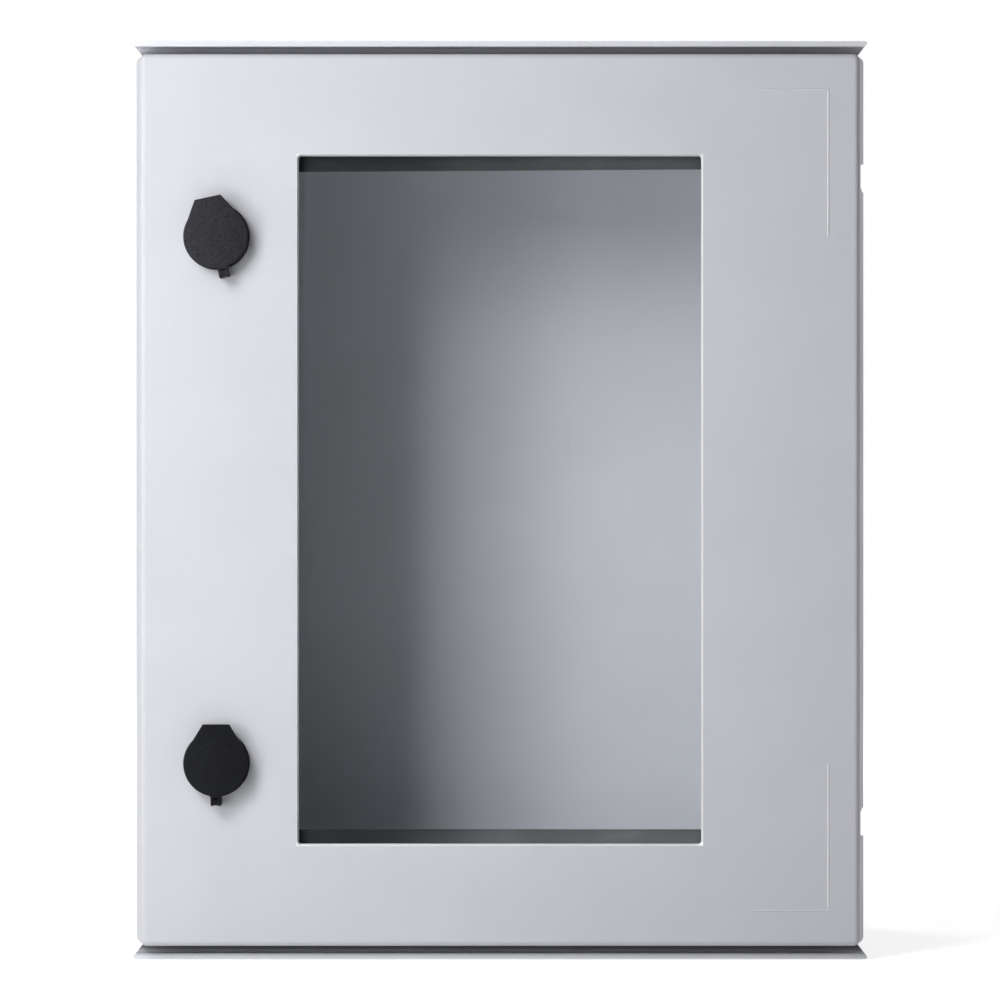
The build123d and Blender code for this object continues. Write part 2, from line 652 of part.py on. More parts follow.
# Keeper screws
with BuildPart() as keeper_screws:
    for lock_z, _ in LOCKS.values():
        with BuildSketch(Plane.YZ.offset(PAD_X + KEEPER_THICK)):
            with Locations((KEEPER_SCREW_SETBACK - HOOK_FRONT, lock_z)):
                with GridLocations(1, KEEPER_SCREW_PITCH, 1, 2):
                    Circle(KEEPER_SCREW_R)
        extrude(amount=-KEEPER_SCREW_LENGTH)
        with BuildSketch(Plane.YZ.offset(PAD_X + KEEPER_THICK)):
            with Locations((KEEPER_SCREW_SETBACK - HOOK_FRONT, lock_z)):
                with GridLocations(1, KEEPER_SCREW_PITCH, 1, 2):
                    Circle(KEEPER_HEAD_R)
        extrude(amount=KEEPER_HEAD)
    chamfer(keeper_screws.faces().group_by(Axis.X)[-1].edges(), KEEPER_HEAD / 2)
keeper_screws.part.label = "keeper_screws"
export_step(keeper_screws.part, "parts/keeper_screws.step")

# Locks and dust caps
housing_outline = [
    (DRIVER_R + RUN_GAP, HOUSING_FRONT),
    (RING_LIP_R, HOUSING_FRONT),
    (RING_LIP_R, HOUSING_FRONT - RING_LIP),
    (RING_SEAT_R, HOUSING_FRONT - RING_LIP),
    (RING_SEAT_R, FLANGE_BACK + HOUSING_FLANGE),
    (HOUSING_FLANGE_R, FLANGE_BACK + HOUSING_FLANGE),
    (HOUSING_FLANGE_R, FLANGE_BACK),
    (BARREL_R, FLANGE_BACK),
    (BARREL_R, SKIN_BACK - NUT_THICK - BARREL_SPARE),
    (TAIL_R, SKIN_BACK - NUT_THICK - BARREL_SPARE),
    (TAIL_R, HOUSING_END),
    (DRIVER_NECK_R + RUN_GAP, HOUSING_END),
    (DRIVER_NECK_R + RUN_GAP, HOUSING_END + DRIVER_SHOULDER),
    (DRIVER_R + RUN_GAP, HOUSING_END + DRIVER_SHOULDER),
]
driver_outline = [
    (0, HOUSING_FRONT - DRIVER_INSET),
    (DRIVER_R, HOUSING_FRONT - DRIVER_INSET),
    (DRIVER_R, HOUSING_END + DRIVER_SHOULDER + RUN_GAP),
    (DRIVER_NECK_R, HOUSING_END + DRIVER_SHOULDER + RUN_GAP),
    (DRIVER_NECK_R, CAM_FRONT),
    (0, CAM_FRONT),
]
ring_outline = [
    (RING_SEAT_R + RUN_GAP, RING_FRONT),
    (RING_R, RING_FRONT),
    (RING_R, RING_BACK),
    (HOUSING_FLANGE_R + MOVE_GAP, RING_BACK),
    (HOUSING_FLANGE_R + MOVE_GAP, FLANGE_BACK + HOUSING_FLANGE + MOVE_GAP),
    (RING_SEAT_R + RUN_GAP, FLANGE_BACK + HOUSING_FLANGE + MOVE_GAP),
]
screw_outline = [
    (0, CAM_FRONT - CAM_THICK - CAM_HEAD),
    (CAM_HEAD_R - CAM_HEAD / 3, CAM_FRONT - CAM_THICK - CAM_HEAD),
    (CAM_HEAD_R, CAM_FRONT - CAM_THICK - CAM_HEAD * 2 / 3),
    (CAM_HEAD_R, CAM_FRONT - CAM_THICK),
    (CAM_SCREW_R, CAM_FRONT - CAM_THICK),
    (CAM_SCREW_R, CAM_FRONT - CAM_THICK + CAM_SCREW_LENGTH),
    (0, CAM_FRONT - CAM_THICK + CAM_SCREW_LENGTH),
]

# The cap's straight flanks are tangents to its round part
cap_corner = (CAP_TOP_WIDTH / 2, CAP_TOP_REACH)
tangent_angle = atan2(cap_corner[0], cap_corner[1]) + acos(CAP_R / hypot(*cap_corner))
cap_tangent = (CAP_R * sin(tangent_angle), CAP_R * cos(tangent_angle))

for name, (lock_z, cap_turn) in LOCKS.items():
    lock_face = Plane(origin=(LOCK_X, 0, lock_z), x_dir=(1, 0, 0), z_dir=(0, -1, 0))
    lean = radians(cap_turn)
    cap_face = Plane(
        origin=(LOCK_X, 0, lock_z), x_dir=(cos(lean), 0, sin(lean)), z_dir=(0, -1, 0)
    )

    with BuildPart() as lock_seal:
        with BuildSketch(lock_face.offset(DOOR_FACE)):
            Circle(HOUSING_FLANGE_R)
            Circle(BARREL_R + MOVE_GAP, mode=Mode.SUBTRACT)
        extrude(amount=LOCK_SEAL)
    lock_seal.part.label = f"lock_seal_{name}"
    export_step(lock_seal.part, f"parts/lock_seal_{name}.step")

    with BuildPart() as lock_housing:
        add(turned(housing_outline, LOCK_X, lock_z))
    lock_housing.part.label = f"lock_housing_{name}"
    export_step(lock_housing.part, f"parts/lock_housing_{name}.step")

    with BuildPart() as lock_nut:
        with BuildSketch(lock_face.offset(SKIN_BACK)):
            RegularPolygon(NUT_FLATS / 2, 6, major_radius=False)
            Circle(BARREL_R + SEAT_GAP, mode=Mode.SUBTRACT)
        extrude(amount=-NUT_THICK)
    lock_nut.part.label = f"lock_nut_{name}"
    export_step(lock_nut.part, f"parts/lock_nut_{name}.step")

    # Driver: a round head with a double-bit post in its recess, and a square tail for the cam
    with BuildPart() as lock_driver:
        add(turned(driver_outline, LOCK_X, lock_z))
        with BuildSketch(lock_face.offset(HOUSING_FRONT - DRIVER_INSET)):
            Circle(RECESS_R)
            Circle(BIT_R, mode=Mode.SUBTRACT)
            Rectangle(BIT_SPAN, BIT_WIDTH, mode=Mode.SUBTRACT)
        extrude(amount=-RECESS_DEPTH, mode=Mode.SUBTRACT)
        with BuildSketch(lock_face.offset(CAM_FRONT)):
            Rectangle(SQUARE, SQUARE)
        extrude(amount=RUN_GAP - CAM_THICK)
        with BuildSketch(lock_face.offset(CAM_FRONT - CAM_THICK)):
            Circle(CAM_SCREW_R + SEAT_GAP)
        extrude(amount=CAM_SCREW_LENGTH + SEAT_GAP, mode=Mode.SUBTRACT)
    lock_driver.part.label = f"lock_driver_{name}"
    export_step(lock_driver.part, f"parts/lock_driver_{name}.step")

    # Cam, hanging down when the lock is open; its nose is struck from the lock's axis
    with BuildPart() as lock_cam:
        with BuildSketch(lock_face.offset(CAM_FRONT)):
            with Locations((0, CAM_TAIL)):
                Rectangle(CAM_WIDTH, CAM_TAIL + CAM_REACH, align=(Align.CENTER, Align.MAX))
            Circle(CAM_REACH, mode=Mode.INTERSECT)
            Rectangle(SQUARE + 2 * SQUARE_FIT, SQUARE + 2 * SQUARE_FIT, mode=Mode.SUBTRACT)
        extrude(amount=-CAM_THICK)
    lock_cam.part.label = f"lock_cam_{name}"
    export_step(lock_cam.part, f"parts/lock_cam_{name}.step")

    with BuildPart() as cam_screw:
        add(turned(screw_outline, LOCK_X, lock_z))
    cam_screw.part.label = f"cam_screw_{name}"
    export_step(cam_screw.part, f"parts/cam_screw_{name}.step")

    pin_centre = cap_face.from_local_coords((0, CAP_PIN_Y, CAP_PIN_DEPTH))
    cap_hinge = Plane(origin=pin_centre, x_dir=cap_face.z_dir, z_dir=cap_face.x_dir)
    cap_axis = Axis(cap_face.origin, cap_face.y_dir)

    # Cap ring: turns on the housing and carries the cap's knuckle on a lug below
    with BuildPart() as cap_ring:
        add(turned(ring_outline, LOCK_X, lock_z))
        with BuildSketch(cap_face.offset(RING_BACK)):
            Rectangle(TAB_END, TAB_REACH - MOVE_GAP, align=(Align.CENTER, Align.MAX))
            Circle(CAP_R - CAP_WALL, mode=Mode.SUBTRACT)
        extrude(amount=RING_HEIGHT)
        with BuildSketch(cap_hinge):
            Circle(CAP_KNUCKLE_R)
            Rectangle(
                CAP_PIN_DEPTH - RING_FRONT + CAP_WALL / 2,
                2 * CAP_KNUCKLE_R,
                align=(Align.MAX, Align.CENTER),
            )
        extrude(amount=CAP_KNUCKLE_WIDTH / 2, both=True)
        with BuildSketch(cap_hinge):
            Circle(CAP_PIN_R + RUN_GAP)
        extrude(amount=TAB_ROOT, both=True, mode=Mode.SUBTRACT)
    cap_ring.part.label = f"cap_ring_{name}"
    export_step(cap_ring.part, f"parts/cap_ring_{name}.step")

    # Dust cap: teardrop plate with a rim, a finger tip above and a forked tab below
    with BuildPart() as dust_cap:
        with BuildSketch(cap_face.offset(CAP_BACK)) as cap_outline:
            Circle(CAP_R)
            with BuildLine():
                Polyline(
                    (-cap_tangent[0], cap_tangent[1]),
                    (-cap_corner[0], cap_corner[1]),
                    cap_corner,
                    cap_tangent,
                    close=True,
                )
            make_face()
            with BuildLine():
                Polyline(
                    (-TAB_ROOT / 2, -CAP_R / 2),
                    (TAB_ROOT / 2, -CAP_R / 2),
                    (TAB_END / 2, CAP_PIN_Y),
                    (-TAB_END / 2, CAP_PIN_Y),
                    close=True,
                )
            make_face()
            fillet(cap_outline.vertices().sort_by(Axis.Y)[2:4], TAB_FILLET)
        extrude(amount=CAP_THICK)
        flat_edges = dust_cap.faces().sort_by(Axis.Y)[0].edges()
        fillet(flat_edges.sort_by(cap_axis)[1:], CAP_EDGE)
        with BuildSketch(cap_face.offset(CAP_BACK)):
            Circle(CAP_R - CAP_WALL)
        extrude(amount=CAP_THICK - CAP_PLATE, mode=Mode.SUBTRACT)
        # The tab ends in a barrel about the hinge pin
        with BuildSketch(cap_hinge):
            Circle(CAP_THICK / 2)
        extrude(amount=TAB_END / 2, both=True)
        # Slot for the ring's knuckle, crossed by the cap's own pin
        with BuildSketch(cap_face.offset(CAP_BACK)):
            with Locations((0, CAP_PIN_Y + CAP_KNUCKLE_R + MOVE_GAP)):
                Rectangle(
                    CAP_KNUCKLE_WIDTH + MOVE_GAP, TAB_REACH, align=(Align.CENTER, Align.MAX)
                )
        extrude(amount=CAP_THICK, mode=Mode.SUBTRACT)
        with BuildSketch(cap_hinge):
            Circle(CAP_PIN_R)
        extrude(amount=TAB_END / 2, both=True)
    dust_cap.part.label = f"dust_cap_{name}"
    export_step(dust_cap.part, f"parts/dust_cap_{name}.step")
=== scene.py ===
import json
from math import cos, pi, radians

import bmesh
import bpy
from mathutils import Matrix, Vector


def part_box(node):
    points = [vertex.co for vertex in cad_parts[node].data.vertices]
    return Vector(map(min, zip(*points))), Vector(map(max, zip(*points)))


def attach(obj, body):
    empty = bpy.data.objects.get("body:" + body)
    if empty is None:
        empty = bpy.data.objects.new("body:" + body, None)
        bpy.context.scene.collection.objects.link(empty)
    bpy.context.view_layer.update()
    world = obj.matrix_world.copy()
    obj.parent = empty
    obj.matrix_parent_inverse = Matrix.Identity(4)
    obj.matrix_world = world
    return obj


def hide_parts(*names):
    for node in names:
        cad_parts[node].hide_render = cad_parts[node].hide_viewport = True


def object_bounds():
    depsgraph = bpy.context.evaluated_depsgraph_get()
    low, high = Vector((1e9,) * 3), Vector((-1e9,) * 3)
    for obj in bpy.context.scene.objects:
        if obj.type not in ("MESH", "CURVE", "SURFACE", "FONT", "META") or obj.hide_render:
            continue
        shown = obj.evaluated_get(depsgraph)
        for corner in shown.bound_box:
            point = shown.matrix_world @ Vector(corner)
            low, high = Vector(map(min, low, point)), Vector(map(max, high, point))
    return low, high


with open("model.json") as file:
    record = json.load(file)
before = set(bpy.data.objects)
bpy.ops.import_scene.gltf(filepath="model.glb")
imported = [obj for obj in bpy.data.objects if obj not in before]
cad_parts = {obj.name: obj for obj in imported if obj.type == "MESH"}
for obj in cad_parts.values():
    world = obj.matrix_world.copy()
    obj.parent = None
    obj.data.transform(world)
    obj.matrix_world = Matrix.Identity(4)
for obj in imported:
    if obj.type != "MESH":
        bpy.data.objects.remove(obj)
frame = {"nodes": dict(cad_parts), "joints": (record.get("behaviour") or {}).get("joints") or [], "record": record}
cad_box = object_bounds()

# The enclosure stands with its back to +Y, its door faces -Y and +Z is up. Sizes are in metres.
MM = 0.001
door_low, door_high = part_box("door_panel")
LOCK_SIDES = ("upper", "lower")

# The window: its opening behind, how far its drafted wall flares, and the glass between the clamps
WINDOW_WIDTH = 218.5 * MM
WINDOW_HEIGHT = 373.2 * MM
REVEAL = 0.95 * MM
GLASS_SHOWS = 211.8 * MM
FILM_GAP = 0.05 * MM

# Fasteners: head radius, head height, shank radius and shank length of each screw
CLAMP_SCREW = (3.3 * MM, 1.8 * MM, 1.5 * MM, 6 * MM)
KEEPER_SCREW = (3.4 * MM, 1.6 * MM, 2 * MM, 6.3 * MM)
CAM_SCREW = (5 * MM, 2.6 * MM, 2 * MM, 9.8 * MM)
CLAMP_PITCH = 100 * MM
CLAMP_SIDE_PITCH = 110 * MM
KEEPER_PITCH = 20 * MM
NUT_FLATS = 27 * MM
NUT_THICKNESS = 5 * MM
NUT_CHAMFER = 1.2 * MM
NUT_FACE_SHARE = 0.86
BARREL_R = 11 * MM
BARREL_GAP = 0.02 * MM

# Widths of the rounding that soft, cut and pressed pieces get
GASKET_ROUND = 1.8 * MM
KEEPER_ROUND = 0.3 * MM
CAM_ROUND = 0.4 * MM

# Angles, in degrees, under which a face is shaded as part of its neighbour
DRESSED_SMOOTH = 32
CAD_SMOOTH = 28


def joint_place(name):
    """Where a joint's axis passes, from the frame."""
    found = [joint for joint in frame["joints"] if joint["name"] == name]
    return Vector(found[0]["pos_m"])


# Node helpers

def feed(tree, socket, value):
    """Gives an input its value, links it to the socket that feeds it, or fills in a colour."""
    if isinstance(value, bpy.types.NodeSocket):
        tree.links.new(value, socket)
    elif socket.type == "RGBA" and len(value) == 3:
        socket.default_value = (*value, 1.0)
    else:
        socket.default_value = value


def shader_node(tree, kind, settings=None, **inputs):
    """Adds a node; each input is a value, or the socket that feeds it."""
    made = tree.nodes.new("ShaderNode" + kind)
    for key, value in (settings or {}).items():
        setattr(made, key, value)
    for key, value in inputs.items():
        feed(tree, made.inputs[key.replace("_", " ")], value)
    return made


def maths(tree, operation, first, second=0.0):
    made = shader_node(tree, "Math", {"operation": operation})
    for socket, value in zip(made.inputs, (first, second)):
        feed(tree, socket, value)
    return made.outputs[0]


def product(tree, first, *others):
    """Multiplies values or sockets, from the first to the last."""
    for other in others:
        first = maths(tree, "MULTIPLY", first, other)
    return first


def mix_colour(tree, share, first, second, blend="MIX"):
    """Goes from the first colour to the second by a share of 0 to 1."""
    made = shader_node(tree, "Mix", {"data_type": "RGBA", "blend_type": blend})
    share_at, first_at, second_at, colour_out = 0, 6, 7, 2
    for index, value in ((share_at, share), (first_at, first), (second_at, second)):
        feed(tree, made.inputs[index], value)
    return made.outputs[colour_out]


def ramp(tree, value, low, high, to_low=0.0, to_high=1.0, smooth=True):
    """Maps a value from low..high to to_low..to_high, clamped."""
    made = shader_node(
        tree, "MapRange", {"interpolation_type": "SMOOTHSTEP" if smooth else "LINEAR"},
        Value=value, From_Min=low, From_Max=high, To_Min=to_low, To_Max=to_high,
    )
    return made.outputs["Result"]


def object_place(tree, squeeze=(1, 1, 1)):
    """Object coordinates in metres, with each axis squeezed or stretched."""
    coords = tree.nodes.new("ShaderNodeTexCoord")
    mapping = shader_node(tree, "Mapping", Vector=coords.outputs["Object"], Scale=squeeze)
    return mapping.outputs["Vector"]


# Effects that several finishes share

def effect(name, inputs, outputs):
    """Starts a node group with inputs, as name and default, and outputs that are all numbers."""
    group = bpy.data.node_groups.new(name, "ShaderNodeTree")
    for socket_name, default in inputs:
        kind = "NodeSocketVector" if default is None else "NodeSocketFloat"
        socket = group.interface.new_socket(
            socket_name, in_out="INPUT", socket_type=kind
        )
        if default is not None:
            socket.default_value = default
    for socket_name in outputs:
        group.interface.new_socket(
            socket_name, in_out="OUTPUT", socket_type="NodeSocketFloat"
        )
    given = group.nodes.new("NodeGroupInput").outputs
    return group, given, group.nodes.new("NodeGroupOutput").inputs


def make_moulding_grain():
    """Orange peel and slow cloudiness of a pressed or injected plastic."""
    group, given, gives = effect(
        "moulding grain",
        [("Place", None), ("Grain Size", 0.0006), ("Cloud Size", 0.03)],
        ["Grain", "Cloud", "Fleck"],
    )
    fine = shader_node(group, "TexNoise", Vector=given["Place"], Detail=2.0, Roughness=0.6)
    group.links.new(maths(group, "DIVIDE", 1.0, given["Grain Size"]), fine.inputs["Scale"])
    slow = shader_node(group, "TexNoise", Vector=given["Place"], Detail=3.0, Roughness=0.5)
    group.links.new(maths(group, "DIVIDE", 1.0, given["Cloud Size"]), slow.inputs["Scale"])
    specks = shader_node(group, "TexVoronoi", Vector=given["Place"], Scale=260.0)
    group.links.new(fine.outputs[0], gives["Grain"])
    group.links.new(slow.outputs[0], gives["Cloud"])
    fleck = ramp(group, specks.outputs["Distance"], 0.05, 0.16, 1.0, 0.0)
    group.links.new(fleck, gives["Fleck"])
    return group


def make_dust():
    """Settled specks and a thin film, each as a mask."""
    group, given, gives = effect(
        "dust",
        [("Place", None), ("Speck Scale", 420.0), ("Amount", 0.5)],
        ["Specks", "Film"],
    )
    cells = shader_node(group, "TexVoronoi", Vector=given["Place"])
    group.links.new(given["Speck Scale"], cells.inputs["Scale"])
    chance = shader_node(group, "SeparateColor", Color=cells.outputs["Color"])
    few = maths(group, "LESS_THAN", chance.outputs["Red"], given["Amount"])
    near = ramp(group, cells.outputs["Distance"], 0.06, 0.2, 1.0, 0.0)
    film = shader_node(group, "TexNoise", Vector=given["Place"], Scale=22.0, Detail=5.0)
    group.links.new(product(group, few, near), gives["Specks"])
    group.links.new(ramp(group, film.outputs[0], 0.35, 0.75), gives["Film"])
    return group


def make_scuffs():
    """Long hairline marks that run roughly along one way."""
    group, given, gives = effect("scuffs", [("Place", None), ("Amount", 0.5)], ["Scuffs"])
    bent = shader_node(group, "TexNoise", Vector=given["Place"], Scale=5.0, Detail=1.0)
    warp = shader_node(group, "VectorMath", {"operation": "SCALE"}, Scale=0.03)
    group.links.new(bent.outputs["Color"], warp.inputs[0])
    bend = shader_node(group, "VectorMath", {"operation": "ADD"})
    group.links.new(given["Place"], bend.inputs[0])
    group.links.new(warp.outputs[0], bend.inputs[1])
    stretch = shader_node(group, "Mapping", Vector=bend.outputs[0], Scale=(1.0, 1.0, 0.06))
    lines = shader_node(
        group, "TexNoise", Vector=stretch.outputs["Vector"], Scale=900.0, Detail=0.0
    )
    patches = shader_node(group, "TexNoise", Vector=given["Place"], Scale=14.0, Detail=1.0)
    thin = ramp(group, lines.outputs[0], 0.76, 0.82)
    where = ramp(group, patches.outputs[0], 0.5, 0.62)
    group.links.new(product(group, thin, where, given["Amount"]), gives["Scuffs"])
    return group


def make_stroke():
    """Fine parallel lines left by a tool, as a height."""
    group, given, gives = effect(
        "tool strokes", [("Place", None), ("Scale", 1500.0)], ["Lines"]
    )
    lines = shader_node(group, "TexNoise", Vector=given["Place"], Detail=2.0, Roughness=0.7)
    group.links.new(given["Scale"], lines.inputs["Scale"])
    group.links.new(lines.outputs[0], gives["Lines"])
    return group


GRAIN = make_moulding_grain()
DUST = make_dust()
SCUFFS = make_scuffs()
STROKE = make_stroke()


def placed(tree, group, place, **inputs):
    """Puts a shared effect into a material, with its own values."""
    made = tree.nodes.new("ShaderNodeGroup")
    made.node_tree = group
    tree.links.new(place, made.inputs["Place"])
    for key, value in inputs.items():
        made.inputs[key.replace("_", " ")].default_value = value
    return made.outputs


def start_finish(name):
    """A new material with its tree and its Principled shader."""
    finish = bpy.data.materials.new(name)
    finish.use_nodes = True
    tree = finish.node_tree
    return finish, tree, tree.nodes["Principled BSDF"]


def bumped(tree, shader, height, depth, strength):
    """Bends the shading by a height that spans a depth in metres."""
    bump = shader_node(tree, "Bump", Height=height, Distance=depth, Strength=strength)
    tree.links.new(bump.outputs["Normal"], shader.inputs["Normal"])


# Colours of marks and dust, and of painted highlights, painted shade and painted light
FIBRE_FLECK = (0.65, 0.66, 0.68)
PALE_SCUFF = (0.75, 0.76, 0.78)
DARK_SPECK = (0.3, 0.31, 0.32)
PALE_SPECK = (0.35, 0.37, 0.38)
# Painted highlights on the door's rib crests and on the window's wall and foot
CREST_HIGHLIGHT = (0.72, 0.72, 0.74)
WINDOW_WALL_HIGHLIGHT = (0.7, 0.7, 0.72)
WINDOW_FOOT_HIGHLIGHT = (0.92, 0.92, 0.94)
# Painted shade in the gutters and in the tub
TUB_SHADE = (0.03, 0.031, 0.033)
# The clamp paint's own dark tone, and the paler tone of its painted light
BASE_CLAMP_PAINT = (0.015, 0.018, 0.019)
LIT_CLAMP_PAINT = (0.16, 0.165, 0.172)
FILM_DUST = (0.7, 0.72, 0.74)
# Tint of the painted light veil on the pane
VEIL_TINT = (0.48, 0.6, 0.85)
GLASS_TINT = (0.97, 0.98, 0.98)

# Where painted highlights on the door, painted shade in the tub and painted light on the clamps start and end
# Where the painted highlights on the rib crests and the window's foot run
CREST_TOP = door_low.y + 0.12 * MM
CREST_FOOT = door_low.y + 0.36 * MM
RIB_LEGS_FROM = 220.5 * MM
RIB_LEGS_FULL = 222 * MM
WALL_FOOT_FULL = -186 * MM
WALL_FOOT_FROM = -185 * MM
# Where the painted shade in the gutters runs
GUTTER_DARKEST = door_high.z + 1.8 * MM
GUTTER_UNSHADED = door_high.z + 5.6 * MM
GUTTER_FROM = door_high.z - 5 * MM
GUTTER_FULL = door_high.z - 4 * MM
GUTTER_OFFSET = 0.8 * MM
# Where the painted shade on the tub's left half runs
INSIDE_FULL = 225 * MM
INSIDE_END = 230 * MM
INSIDE_DULL = -120 * MM
INSIDE_PLAIN = -10 * MM
# Where the painted light on the clamps runs across, up and out to their edges
CLAMP_UNLIT = -80 * MM
CLAMP_LIT = 60 * MM
CLAMP_FOOT = -100 * MM
CLAMP_HEAD = 100 * MM
CLAMP_INNER = 179 * MM
CLAMP_OUTER = 186 * MM

# How far the painted sheen runs to either side of a lock, and where a cap's stippled tip starts
SHEEN_LEFT = 16 * MM
SHEEN_RIGHT = 14 * MM
TIP_RISE = 15 * MM
TIP_BLEND = 4 * MM

# The pale upright streaks on the pane, as middle, half width, top, foot and strength
STREAKS = [
    (-104.5 * MM, 2.6 * MM, 174 * MM, -40 * MM, 0.03),
    (-82.5 * MM, 1.6 * MM, 174 * MM, 20 * MM, 0.02),
]
STREAK_HEAD = 3 * MM
# Where the painted light veil on the pane lies, and how strong it is
VEIL_LEFT = -100 * MM
VEIL_RIGHT = -20 * MM
VEIL_FOOT = -130 * MM
VEIL_HEAD = -50 * MM
VEIL_STRENGTH = 0.006


# Finishes

def make_grp(name, tone, roughness, gloss, painted_light):
    """Hot-pressed glass-fibre polyester: grey, faintly cloudy, satin; the last argument adds painted highlights on
    the door and painted shade on the tub.
    """
    finish, tree, shader = start_finish(name)
    place = object_place(tree)
    grain = placed(tree, GRAIN, place, Grain_Size=0.0009, Cloud_Size=0.045)
    scuffs = placed(tree, SCUFFS, place, Amount=0.3)
    dust = placed(tree, DUST, place, Speck_Scale=300.0, Amount=0.05)
    light, dark = [tuple(part * share for part in tone) for share in (1.015, 0.985)]
    colour = mix_colour(tree, ramp(tree, grain["Cloud"], 0.3, 0.7), dark, light)
    colour = mix_colour(tree, product(tree, grain["Fleck"], 0.05), colour, FIBRE_FLECK)
    colour = mix_colour(tree, product(tree, scuffs["Scuffs"], 0.1), colour, PALE_SCUFF)
    colour = mix_colour(tree, product(tree, dust["Specks"], 0.12), colour, DARK_SPECK)
    tree.links.new(painted_light(tree, place, colour), shader.inputs["Base Color"])
    rough = ramp(tree, grain["Cloud"], 0.25, 0.75, roughness - 0.05, roughness + 0.05)
    tree.links.new(rough, shader.inputs["Roughness"])
    bumped(tree, shader, grain["Grain"], 0.05 * MM, 0.35)
    shader.inputs["Specular IOR Level"].default_value = gloss
    return finish


def painted_edge_highlights(tree, place, colour):
    """Painted highlights: paler crests on the door's ribs, and a paler wall round the window, palest at its foot.
    """
    spots = shader_node(tree, "SeparateXYZ", Vector=place).outputs
    from_middle = maths(tree, "ABSOLUTE", spots["X"])
    from_centre = maths(tree, "ABSOLUTE", spots["Z"])
    # Painted highlight on the rib crests
    crest = ramp(tree, spots["Y"], CREST_TOP, CREST_FOOT, 1.0, 0.0)
    legs = ramp(tree, from_centre, RIB_LEGS_FROM, RIB_LEGS_FULL, 0.75, 0.35)
    colour = mix_colour(tree, product(tree, crest, legs), colour, CREST_HIGHLIGHT)
    # Painted highlight on the window's drafted wall, strongest at its foot
    across = maths(tree, "LESS_THAN", from_middle, WINDOW_WIDTH / 2 + REVEAL)
    up = maths(tree, "LESS_THAN", from_centre, WINDOW_HEIGHT / 2 + REVEAL)
    foot = ramp(tree, spots["Z"], WALL_FOOT_FULL, WALL_FOOT_FROM, 1.0, 0.0)
    pale = mix_colour(tree, foot, WINDOW_WALL_HIGHLIGHT, WINDOW_FOOT_HIGHLIGHT)
    return mix_colour(tree, product(tree, across, up), colour, pale)


def painted_tub_shade(tree, place, colour):
    """Painted shade: darker in the rain gutters, darkest next to the door, and a duller left half inside."""
    spots = shader_node(tree, "SeparateXYZ", Vector=place).outputs
    height = maths(tree, "ABSOLUTE", spots["Z"])
    # Painted shade in the gap between the door and the gutter lips
    shifted = maths(tree, "ABSOLUTE", maths(tree, "ADD", spots["Z"], GUTTER_OFFSET))
    unshaded = ramp(tree, shifted, GUTTER_DARKEST, GUTTER_UNSHADED, 0.25, 1.0, smooth=False)
    outside = ramp(tree, height, GUTTER_FROM, GUTTER_FULL)
    gap_shade = product(tree, maths(tree, "SUBTRACT", 1.0, unshaded), outside)
    # Painted shade on the left half of the tub
    inside = ramp(tree, height, INSIDE_FULL, INSIDE_END, 1.0, 0.0)
    dull = product(tree, inside, ramp(tree, spots["X"], INSIDE_DULL, INSIDE_PLAIN, 0.2, 0.0))
    return mix_colour(tree, maths(tree, "MAXIMUM", gap_shade, dull), colour, TUB_SHADE)


def make_cap_plastic(name, tone, tip_height):
    """Black plastic with a fine grain, coarser stippling on the finger tip and a painted sheen, lighter to the
    left of the lock and darker to its right.
    """
    finish, tree, shader = start_finish(name)
    place = object_place(tree)
    spots = shader_node(tree, "SeparateXYZ", Vector=place).outputs
    grain = placed(tree, GRAIN, place, Grain_Size=0.00045, Cloud_Size=0.012)
    coarse = shader_node(tree, "TexVoronoi", Vector=place, Scale=1150.0)
    on_tip = ramp(tree, spots["Z"], tip_height, tip_height + TIP_BLEND)
    bead = product(tree, ramp(tree, coarse.outputs["Distance"], 0.1, 0.6, 1.0, 0.0), on_tip)
    height = maths(tree, "ADD", product(tree, grain["Grain"], 0.6), bead)
    mottle = shader_node(
        tree, "TexNoise", Vector=place, Scale=1300.0, Detail=3.0, Roughness=0.65
    )
    pale, dim = [tuple(part * share for part in tone) for share in (1.45, 0.8)]
    colour = mix_colour(tree, ramp(tree, mottle.outputs[0], 0.36, 0.64), dim, pale)
    lock_x = joint_place("lock_turn_upper").x
    # Painted sheen: the colour is multiplied by 1.3 to the left of the lock, falling to 0.8 to its right
    painted_sheen = ramp(tree, spots["X"], lock_x - SHEEN_LEFT, lock_x + SHEEN_RIGHT, 1.3, 0.8, smooth=False)
    shade = shader_node(tree, "CombineXYZ", X=painted_sheen, Y=painted_sheen, Z=painted_sheen)
    colour = mix_colour(tree, 1.0, colour, shade.outputs[0], "MULTIPLY")
    tree.links.new(colour, shader.inputs["Base Color"])
    tree.links.new(ramp(tree, grain["Cloud"], 0.3, 0.7, 0.5, 0.62), shader.inputs["Roughness"])
    bumped(tree, shader, height, 0.12 * MM, 0.6)
    shader.inputs["Specular IOR Level"].default_value = 0.08
    return finish


def make_rubber(name, tone, roughness):
    """Foam or cord rubber with pores and a little bloom."""
    finish, tree, shader = start_finish(name)
    place = object_place(tree)
    grain = placed(tree, GRAIN, place, Grain_Size=0.0007, Cloud_Size=0.02)
    dust = placed(tree, DUST, place, Speck_Scale=300.0, Amount=0.2)
    pale = tuple(part * 1.6 + 0.01 for part in tone)
    colour = mix_colour(tree, product(tree, dust["Film"], 0.5), tone, pale)
    tree.links.new(colour, shader.inputs["Base Color"])
    rough = ramp(tree, grain["Cloud"], 0.3, 0.7, roughness - 0.06, roughness + 0.06)
    tree.links.new(rough, shader.inputs["Roughness"])
    bumped(tree, shader, grain["Grain"], 0.1 * MM, 0.5)
    return finish


